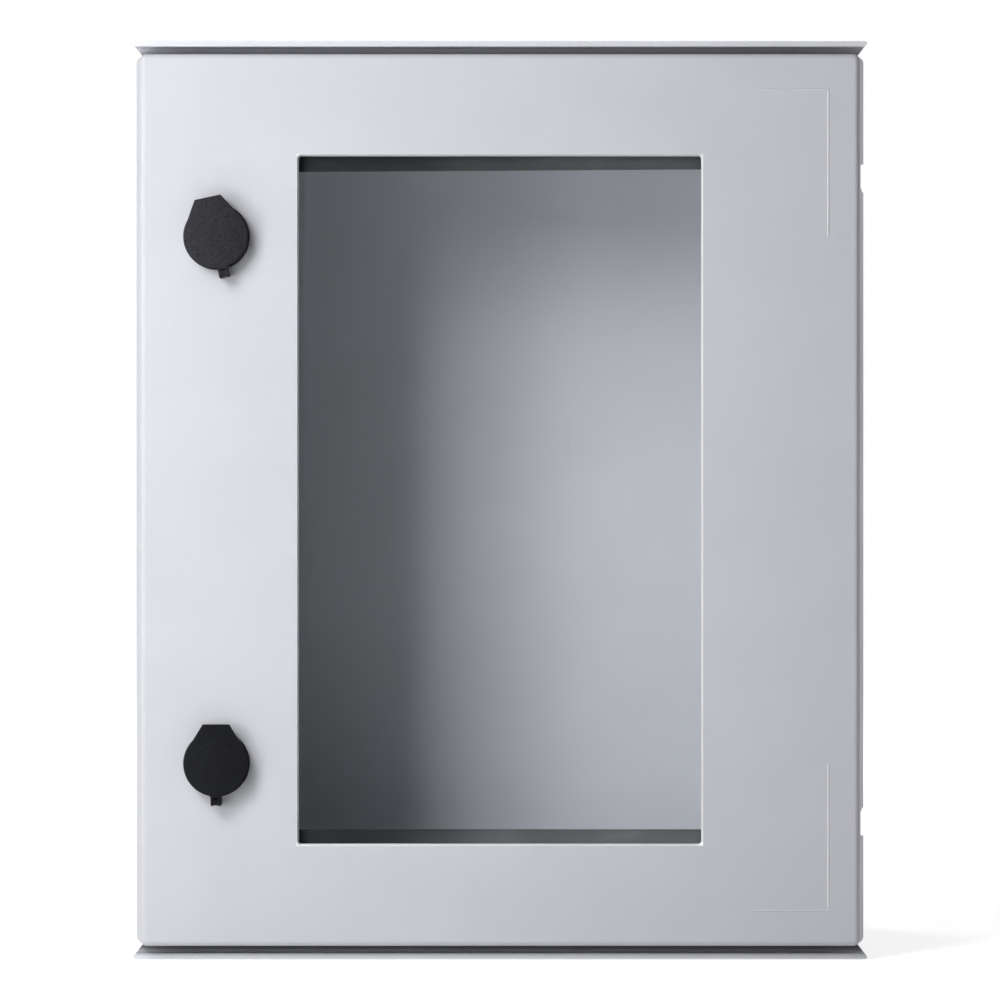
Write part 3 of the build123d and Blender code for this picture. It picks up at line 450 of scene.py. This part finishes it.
def make_clamp_paint():
    """Dark painted steel strip behind the pane, with painted light that makes it paler towards the right, the
    bottom and its outer edge, a little patchy; a few pale dust specks lie on it.
    """
    finish, tree, shader = start_finish("clamp paint")
    place = object_place(tree)
    dust = placed(tree, DUST, place, Speck_Scale=620.0, Amount=0.3)
    strokes = placed(tree, STROKE, object_place(tree, (0.05, 1, 1)), Scale=900.0)
    spots = shader_node(tree, "SeparateXYZ", Vector=place).outputs
    # Painted light: strongest at the lower right and at the outer edge, made patchy by the dust film's noise
    rightward = ramp(tree, spots["X"], CLAMP_UNLIT, CLAMP_LIT, 0.06, 1.0)
    downward = ramp(tree, spots["Z"], CLAMP_FOOT, CLAMP_HEAD, 0.9, 0.42)
    height = maths(tree, "ABSOLUTE", spots["Z"])
    edge = ramp(tree, height, CLAMP_INNER, CLAMP_OUTER, 0.75, 1.3, smooth=False)
    uneven = ramp(tree, dust["Film"], 0.0, 1.0, 0.8, 1.2)
    clamp_light = product(tree, rightward, downward, edge, uneven)
    colour = mix_colour(tree, clamp_light, BASE_CLAMP_PAINT, LIT_CLAMP_PAINT)
    colour = mix_colour(tree, product(tree, dust["Specks"], 0.1), colour, PALE_SPECK)
    tree.links.new(colour, shader.inputs["Base Color"])
    tree.links.new(ramp(tree, strokes["Lines"], 0.3, 0.7, 0.3, 0.42), shader.inputs["Roughness"])
    bumped(tree, shader, strokes["Lines"], 0.03 * MM, 0.3)
    return finish


def make_metal(name, bright, dull, roughness, squeeze):
    """Worked metal with fine tool strokes and slight stains."""
    finish, tree, shader = start_finish(name)
    strokes = placed(tree, STROKE, object_place(tree, squeeze), Scale=1600.0)
    grain = placed(tree, GRAIN, object_place(tree), Grain_Size=0.0005, Cloud_Size=0.008)
    colour = mix_colour(tree, ramp(tree, grain["Cloud"], 0.3, 0.7), dull, bright)
    tree.links.new(colour, shader.inputs["Base Color"])
    shader.inputs["Metallic"].default_value = 1.0
    rough = ramp(tree, strokes["Lines"], 0.3, 0.7, roughness - 0.07, roughness + 0.09)
    tree.links.new(rough, shader.inputs["Roughness"])
    bumped(tree, shader, strokes["Lines"], 0.02 * MM, 0.35)
    return finish


def make_glass():
    """Clear safety glass that lets lamps through to what stands behind it."""
    finish, tree, shader = start_finish("safety glass")
    shader.inputs["Base Color"].default_value = (*GLASS_TINT, 1.0)
    shader.inputs["Transmission Weight"].default_value = 1.0
    shader.inputs["IOR"].default_value = 1.12
    shader.inputs["Roughness"].default_value = 0.0
    paths = tree.nodes.new("ShaderNodeLightPath")
    clear = shader_node(tree, "BsdfTransparent", Color=GLASS_TINT)
    for_lamps = maths(
        tree, "MAXIMUM", paths.outputs["Is Shadow Ray"], paths.outputs["Is Diffuse Ray"]
    )
    either = shader_node(tree, "MixShader", Fac=for_lamps)
    tree.links.new(shader.outputs[0], either.inputs[1])
    tree.links.new(clear.outputs[0], either.inputs[2])
    tree.links.new(either.outputs[0], tree.nodes["Material Output"].inputs["Surface"])
    return finish


def make_dust_and_light_film():
    """What lies on the pane: dust specks, hairlines and a faint film, and a thin bluish veil of painted light at
    the upper left with two pale upright streaks.
    """
    finish, tree, shader = start_finish("dust and painted light on glass")
    place = object_place(tree)
    dust = placed(tree, DUST, place, Speck_Scale=480.0, Amount=0.12)
    scuffs = placed(tree, SCUFFS, place, Amount=0.03)
    spots = shader_node(tree, "SeparateXYZ", Vector=place).outputs
    # Painted light: a thin bluish veil, strongest at the upper left, with the two streaks added to it
    veil = product(
        tree,
        ramp(tree, spots["X"], VEIL_LEFT, VEIL_RIGHT, 1.0, 0.0),
        ramp(tree, spots["Z"], VEIL_FOOT, VEIL_HEAD, 0.0, VEIL_STRENGTH),
    )
    for middle, half, top, foot, strength in STREAKS:
        off = maths(tree, "ABSOLUTE", maths(tree, "SUBTRACT", spots["X"], middle))
        beam = ramp(tree, off, 0.0, half, 1.0, 0.0)
        fade = ramp(tree, spots["Z"], foot, top)
        head = ramp(tree, spots["Z"], top, top + STREAK_HEAD, 1.0, 0.0)
        veil = maths(tree, "ADD", veil, product(tree, beam, fade, head, strength))
    marks = maths(tree, "MAXIMUM", product(tree, dust["Specks"], 0.035), scuffs["Scuffs"])
    marks = maths(tree, "ADD", marks, product(tree, dust["Film"], 0.003))
    colour = mix_colour(tree, ramp(tree, veil, 0.0, 0.02), FILM_DUST, VEIL_TINT)
    tree.links.new(colour, shader.inputs["Base Color"])
    tree.links.new(maths(tree, "ADD", veil, marks), shader.inputs["Alpha"])
    shader.inputs["Roughness"].default_value = 0.9
    shader.inputs["Specular IOR Level"].default_value = 0.0
    return finish


GREY_GRP = (0.48, 0.487, 0.519)
# The tub is the same polyester as the door; its paler tone is painted light
LIT_TUB_GRP = (0.62, 0.628, 0.668)
FOAM = (0.022, 0.022, 0.023)
GLAZING_RUBBER = (0.055, 0.045, 0.035)
CAP_TONES = {"upper": (0.0175, 0.018, 0.021), "lower": (0.0058, 0.0063, 0.008)}
# Bright and dull tone of each metal
DIE_CASTING = ((0.66, 0.66, 0.67), (0.55, 0.55, 0.56))
ZINC_PLATE = ((0.6, 0.6, 0.58), (0.46, 0.47, 0.47))
BRASS = ((0.78, 0.58, 0.27), (0.62, 0.43, 0.18))

FINISHES = {
    # The door's finish carries painted highlights; the tub's is paler as painted light and carries painted shade
    "grey_grp": make_grp("pressed polyester", GREY_GRP, 0.5, 0.35, painted_edge_highlights),
    "tub": make_grp("pressed polyester, tub", LIT_TUB_GRP, 0.55, 0.15, painted_tub_shade),
    "glass": make_glass(),
    "black_rubber": make_rubber("foam rubber", FOAM, 0.72),
    "brown_rubber": make_rubber("glazing rubber", GLAZING_RUBBER, 0.62),
    "dark_paint": make_clamp_paint(),
    "zinc_chrome": make_metal("plated die casting", *DIE_CASTING, 0.2, (1, 1, 1)),
    "plated_steel": make_metal("zinc-plated steel", *ZINC_PLATE, 0.33, (0.08, 1, 1)),
    "brass": make_metal("turned brass", *BRASS, 0.26, (1, 0.1, 1)),
}
for lock in LOCK_SIDES:
    tip_start = joint_place(f"lock_turn_{lock}").z + TIP_RISE
    FINISHES[lock] = make_cap_plastic(f"{lock} cap plastic", CAP_TONES[lock], tip_start)


def dress(piece, finish):
    """Puts one finish in each of a piece's material slots."""
    if not piece.data.materials:
        piece.data.materials.append(finish)
    for index in range(len(piece.data.materials)):
        piece.data.materials[index] = finish


SLOT_OF = {entry["node"]: entry["material_slot"] for entry in frame["record"]["subparts"]}
BODY_OF = {
    node_name: body
    for body, node_names in frame["record"]["behaviour"]["bodies"].items()
    for node_name in node_names
}


def finish_for(node_name):
    """The tub has its own finish, paler than the door's as painted light, and the caps have theirs; the rest go by
    their slots.
    """
    if node_name == "base_shell":
        return FINISHES["tub"]
    if node_name.startswith(("dust_cap", "cap_ring")):
        return FINISHES[node_name.rsplit("_", 1)[1]]
    return FINISHES[SLOT_OF[node_name]]


# Modelling helpers

def choose(*chosen):
    """Selects only the pieces given; the first is the active one."""
    bpy.ops.object.select_all(action="DESELECT")
    for piece in chosen:
        piece.select_set(True)
    bpy.context.view_layer.objects.active = chosen[0]


def begin(add, name, **placing):
    """Deselects everything, adds a primitive in place and names it."""
    bpy.ops.object.select_all(action="DESELECT")
    add(**placing)
    piece = bpy.context.object
    piece.name = name
    return piece


def settle(piece):
    """Moves a piece's place and turn into its mesh."""
    choose(piece)
    bpy.ops.object.transform_apply(location=True, rotation=True, scale=True)


def pick(piece, kind, test):
    """Opens a piece for editing, with only its faces or edges that pass the test selected."""
    choose(piece)
    bpy.ops.object.mode_set(mode="EDIT")
    bpy.ops.mesh.select_mode(type=kind)
    bpy.ops.mesh.select_all(action="DESELECT")
    mesh = bmesh.from_edit_mesh(piece.data)
    for part in mesh.faces if kind == "FACE" else mesh.edges:
        if test(part):
            part.select_set(True)
    bmesh.update_edit_mesh(piece.data)


def close_edit():
    bpy.ops.object.mode_set(mode="OBJECT")


def at_height(height):
    """Test for an edge that lies level at a height."""
    near = 0.01 * MM
    return lambda edge: all(abs(corner.co.z - height) < near for corner in edge.verts)


def apply_modifier(piece, kind, **settings):
    choose(piece)
    made = piece.modifiers.new(kind.lower(), kind)
    for key, value in settings.items():
        setattr(made, key, value)
    bpy.ops.object.modifier_apply(modifier=made.name)


def carve(piece, tool, operation="DIFFERENCE"):
    """Cuts a piece with another one, which is used up."""
    apply_modifier(piece, "BOOLEAN", object=tool, operation=operation, solver="EXACT")
    bpy.data.objects.remove(tool)


def twin(piece, name, place):
    """A copy with its own mesh, moved to a place."""
    choose(piece)
    bpy.ops.object.duplicate(linked=False)
    copy = bpy.context.object
    copy.name = name
    copy.location = place
    settle(copy)
    return copy


def repeat(piece, name, places):
    """Copies a piece to each place and joins the copies; the first one is used up."""
    copies = [twin(piece, name, place) for place in places]
    bpy.data.objects.remove(piece)
    choose(*copies)
    bpy.ops.object.join()
    copies[0].name = name
    return copies[0]


def stand_for(piece, *node_names):
    """Gives a finished piece the finish, slot and body of the nodes that it replaces."""
    choose(piece)
    bpy.ops.object.shade_smooth_by_angle(angle=radians(DRESSED_SMOOTH))
    dress(piece, finish_for(node_names[0]))
    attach(piece, BODY_OF[node_names[0]])
    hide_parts(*node_names)


for node_name, node in frame["nodes"].items():
    dress(node, finish_for(node_name))
    choose(node)
    bpy.ops.object.shade_smooth_by_angle(angle=radians(CAD_SMOOTH))


# Fasteners

def make_screw(name, sizes, socket):
    """Screw along +Z with its head's underside at the origin, and a cross or hexagon socket."""
    head_r, head_height, shank_r, shank_length = sizes
    screw = begin(
        bpy.ops.mesh.primitive_cylinder_add, name, vertices=32, radius=head_r,
        depth=head_height, location=(0, 0, head_height / 2),
    )
    settle(screw)
    pick(screw, "EDGE", at_height(head_height))
    bpy.ops.mesh.bevel(offset=0.55 * head_height, segments=4, profile=0.5)
    close_edit()
    pick(screw, "FACE", lambda face: face.normal.z < -0.9)
    bpy.ops.mesh.inset(thickness=head_r - shank_r)
    bpy.ops.mesh.extrude_region_move(TRANSFORM_OT_translate={"value": (0, 0, -shank_length)})
    close_edit()
    if socket == "hexagon":
        carve(screw, begin(
            bpy.ops.mesh.primitive_cylinder_add, "socket", vertices=6, radius=0.48 * head_r,
            depth=1.3 * head_height, location=(0, 0, head_height),
        ))
        return screw
    for turn in (0, pi / 2):
        arm = begin(
            bpy.ops.mesh.primitive_cube_add, "socket arm", size=1.0,
            location=(0, 0, head_height),
        )
        arm.scale = (1.2 * head_r, 0.24 * head_r, 1.5 * head_height)
        settle(arm)
        pick(arm, "FACE", lambda face: face.normal.z < -0.9)
        bpy.ops.transform.resize(value=(0.5, 0.6, 1.0), center_override=(0, 0, 0))
        close_edit()
        arm.rotation_euler = (0, 0, turn)
        settle(arm)
        carve(screw, arm)
    return screw


def turn_back(piece):
    """Turns a piece from +Z to +Y, into the enclosure."""
    piece.rotation_euler = (-pi / 2, 0, 0)
    settle(piece)


def make_clamp_screws():
    """Screws that hold the four strips round the pane."""
    head_r, head_height = CLAMP_SCREW[:2]
    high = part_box("clamp_screws")[1]
    side, end, seat = high.x - head_r, high.z - head_r, high.y - head_height
    screw = make_screw("clamp_screw", CLAMP_SCREW, "cross")
    turn_back(screw)
    steps = (-1, 0, 1)
    places = [(step * CLAMP_PITCH, seat, way * end) for step in steps for way in (-1, 1)]
    places += [(way * side, seat, step * CLAMP_SIDE_PITCH) for step in steps for way in (-1, 1)]
    stand_for(repeat(screw, "clamp_screws_dressed", places), "clamp_screws")


def make_keeper_screws():
    """Two screws for each keeper, into the tub's left wall."""
    low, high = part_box("keeper_screws")
    seat, middle = high.x - KEEPER_SCREW[1], (low.y + high.y) / 2
    screw = make_screw("keeper_screw", KEEPER_SCREW, "cross")
    screw.rotation_euler = (0, pi / 2, 0)
    settle(screw)
    places = []
    for lock in LOCK_SIDES:
        lock_z = joint_place(f"lock_turn_{lock}").z
        for way in (-1, 1):
            places.append((seat, middle, lock_z + way * KEEPER_PITCH / 2))
    stand_for(repeat(screw, "keeper_screws_dressed", places), "keeper_screws")


def make_nut():
    """Hexagon nut along +Y, chamfered by what it shares with a turned blank, then bored."""
    corner_r = NUT_FLATS / 2 / cos(pi / 6)
    nut = begin(
        bpy.ops.mesh.primitive_cylinder_add, "nut", vertices=6, radius=corner_r,
        depth=NUT_THICKNESS, rotation=(0, 0, pi / 6),
    )
    settle(nut)
    blank = begin(
        bpy.ops.mesh.primitive_cylinder_add, "nut blank", vertices=96,
        radius=1.005 * corner_r, depth=NUT_THICKNESS - 2 * NUT_CHAMFER,
    )
    for way in (-1, 1):
        pick(blank, "FACE", lambda face: face.normal.z * way > 0.9)
        bpy.ops.mesh.extrude_region_move(
            TRANSFORM_OT_translate={"value": (0, 0, way * NUT_CHAMFER)}
        )
        bpy.ops.transform.resize(
            value=(NUT_FACE_SHARE, NUT_FACE_SHARE, 1.0), center_override=(0, 0, 0)
        )
        close_edit()
    carve(nut, blank, "INTERSECT")
    carve(nut, begin(
        bpy.ops.mesh.primitive_cylinder_add, "nut bore", vertices=64,
        radius=BARREL_R + BARREL_GAP, depth=2 * NUT_THICKNESS,
    ))
    turn_back(nut)
    return nut


def make_lock_fasteners():
    """Nut and socket-headed cam screw of each lock."""
    screw = make_screw("cam_screw", CAM_SCREW, "hexagon")
    turn_back(screw)
    nut = make_nut()
    for lock in LOCK_SIDES:
        axis = joint_place(f"lock_turn_{lock}")
        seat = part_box(f"cam_screw_{lock}")[1].y - CAM_SCREW[1]
        low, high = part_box(f"lock_nut_{lock}")
        middle = (low.y + high.y) / 2
        for piece, kind, depth in ((screw, "cam_screw", seat), (nut, "lock_nut", middle)):
            own = twin(piece, f"{kind}_{lock}_dressed", (axis.x, depth, axis.z))
            stand_for(own, f"{kind}_{lock}")
    bpy.data.objects.remove(screw)
    bpy.data.objects.remove(nut)


def soften(node_name, width, segments=3):
    """Copies a node and rounds its edges, as a pressed, cut or foamed piece has them."""
    mesh = frame["nodes"][node_name].data.copy()
    piece = bpy.data.objects.new(f"{node_name}_dressed", mesh)
    bpy.context.collection.objects.link(piece)
    pick(piece, "FACE", lambda face: True)
    bpy.ops.mesh.remove_doubles(threshold=0.001 * MM)
    bpy.ops.mesh.dissolve_limited(angle_limit=radians(1))
    close_edit()
    apply_modifier(
        piece, "BEVEL", width=width, segments=segments, limit_method="ANGLE",
        angle_limit=radians(35), use_clamp_overlap=True,
    )
    stand_for(piece, node_name)


make_clamp_screws()
make_keeper_screws()
make_lock_fasteners()
soften("door_gasket", GASKET_ROUND, 4)
for lock in LOCK_SIDES:
    soften(f"keeper_{lock}", KEEPER_ROUND)
    soften(f"lock_cam_{lock}", CAM_ROUND)


# Dust film and a veil of painted light on the pane, seen through the window

def make_pane_film():
    """A sheet just in front of the pane, as large as the glass that shows."""
    pane_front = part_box("window_pane")[0].y
    film = begin(
        bpy.ops.mesh.primitive_plane_add, "pane_dust_and_veil", size=1.0,
        location=(0, pane_front - FILM_GAP, 0), rotation=(pi / 2, 0, 0),
    )
    film.scale = (GLASS_SHOWS, WINDOW_HEIGHT, 1)
    settle(film)
    dress(film, make_dust_and_light_film())
    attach(film, "door")


make_pane_film()


# Studio

AMBIENT = 0.006
AMBIENT_TINT = (0.95, 0.97, 1.0, 1.0)
WHITE = (1.0, 1.0, 1.0, 1.0)
FLOOR_TONE = (0.86, 0.86, 0.86, 1.0)
FLOOR_SIZE = 9.0
FLOOR_GAP = 0.5 * MM
GLOW_NEAR, GLOW_FAR = 0.7, 1.5
NEAR_GLOW, FAR_GLOW = 0.7, 1.0
CAMERA_DISTANCE = 2.39
LENS = 145.4
SENSOR = 36.0
# A bank of soft panels to the left of the camera, as place across, height and watts
KEY_DEPTH = -0.95
KEY_TARGET = (0, -0.2, 0)
KEY_SIZE = (0.38, 0.34)
KEY_PANELS = [(-0.5, 0.4, 6.0), (-0.5, -0.15, 1.7), (-0.75, 0.0, 2.5), (-0.5, 0.8, 2.8)]
# Strips that graze the door's edges, one that lifts its foot, and fill for the back and the
# sides, which the camera's side doesn't see: name, place, target, width and height, watts
LAMPS = [
    ("left strip", (-1.1, -0.4, 0.1), (-0.2, -0.19, 0), (0.3, 0.6), 1.1),
    ("right strip", (1.1, -0.4, 0.1), (0.2, -0.19, 0), (0.3, 0.6), 0.9),
    ("top strip", (-0.25, -0.6, 1.2), (-0.1, -0.2, 0.2), (0.6, 0.3), 1.1),
    ("low strip", (-0.05, -0.8, -0.2), (0, -0.2, -0.25), (0.5, 0.06), 0.16),
    ("rear fill left", (-1.3, 1.2, 0.9), (0, 0, 0), (0.9, 0.9), 14.0),
    ("rear fill right", (1.3, 1.2, 0.9), (0, 0, 0), (0.9, 0.9), 9.0),
]


def seen_plainly(tree):
    """1 for rays from the camera, from gloss and through glass, and 0 for light that falls."""
    paths = tree.nodes.new("ShaderNodeLightPath").outputs
    seen = maths(tree, "MAXIMUM", paths["Is Camera Ray"], paths["Is Glossy Ray"])
    return maths(tree, "MAXIMUM", seen, paths["Is Transmission Ray"])


def make_floor():
    """Pale floor that shows white to the camera and keeps the soft shadow."""
    floor = begin(
        bpy.ops.mesh.primitive_plane_add, "floor", size=FLOOR_SIZE,
        location=(0, 0, cad_box[0].z - FLOOR_GAP),
    )
    finish, tree, shader = start_finish("pale floor")
    shader.inputs["Base Color"].default_value = FLOOR_TONE
    shader.inputs["Roughness"].default_value = 0.9
    shader.inputs["Specular IOR Level"].default_value = 0.0
    shader.inputs["Emission Color"].default_value = WHITE
    place = object_place(tree)
    away = shader_node(tree, "VectorMath", {"operation": "LENGTH"}, Vector=place)
    glow = ramp(tree, away.outputs["Value"], GLOW_NEAR, GLOW_FAR, NEAR_GLOW, FAR_GLOW)
    shine = product(tree, seen_plainly(tree), glow)
    tree.links.new(shine, shader.inputs["Emission Strength"])
    dress(floor, finish)


def make_world():
    """White to the camera, in gloss and through glass; a plain dim fill for the rest."""
    world = bpy.data.worlds.new("studio")
    bpy.context.scene.world = world
    world.use_nodes = True
    tree = world.node_tree
    background = tree.nodes["Background"]
    background.inputs["Color"].default_value = AMBIENT_TINT
    background.inputs["Strength"].default_value = AMBIENT
    white = shader_node(tree, "Background", Color=WHITE, Strength=1.0)
    either = shader_node(tree, "MixShader", Fac=seen_plainly(tree))
    tree.links.new(background.outputs[0], either.inputs[1])
    tree.links.new(white.outputs[0], either.inputs[2])
    tree.links.new(either.outputs[0], tree.nodes["World Output"].inputs["Surface"])


def make_softbox(name, place, target, size, power):
    """Soft lamp that lights but doesn't show."""
    bpy.ops.object.light_add(type="AREA", location=place)
    lamp = bpy.context.object
    lamp.name = name
    lamp.rotation_euler = (Vector(target) - Vector(place)).to_track_quat("-Z", "Y").to_euler()
    lamp.data.shape = "RECTANGLE"
    lamp.data.size, lamp.data.size_y = size
    lamp.data.energy = power
    lamp.visible_camera = False
    lamp.visible_glossy = False
    lamp.visible_transmission = False


make_floor()
make_world()
for number, (across, up, power) in enumerate(KEY_PANELS):
    make_softbox(f"key panel {number}", (across, KEY_DEPTH, up), KEY_TARGET, KEY_SIZE, power)
for lamp_values in LAMPS:
    make_softbox(*lamp_values)

bpy.ops.object.camera_add(location=(0, -CAMERA_DISTANCE, 0), rotation=(pi / 2, 0, 0))
camera = bpy.context.object
camera.data.lens = LENS
camera.data.sensor_width = SENSOR
bpy.context.scene.camera = camera
bpy.context.scene.view_settings.view_transform = "Standard"
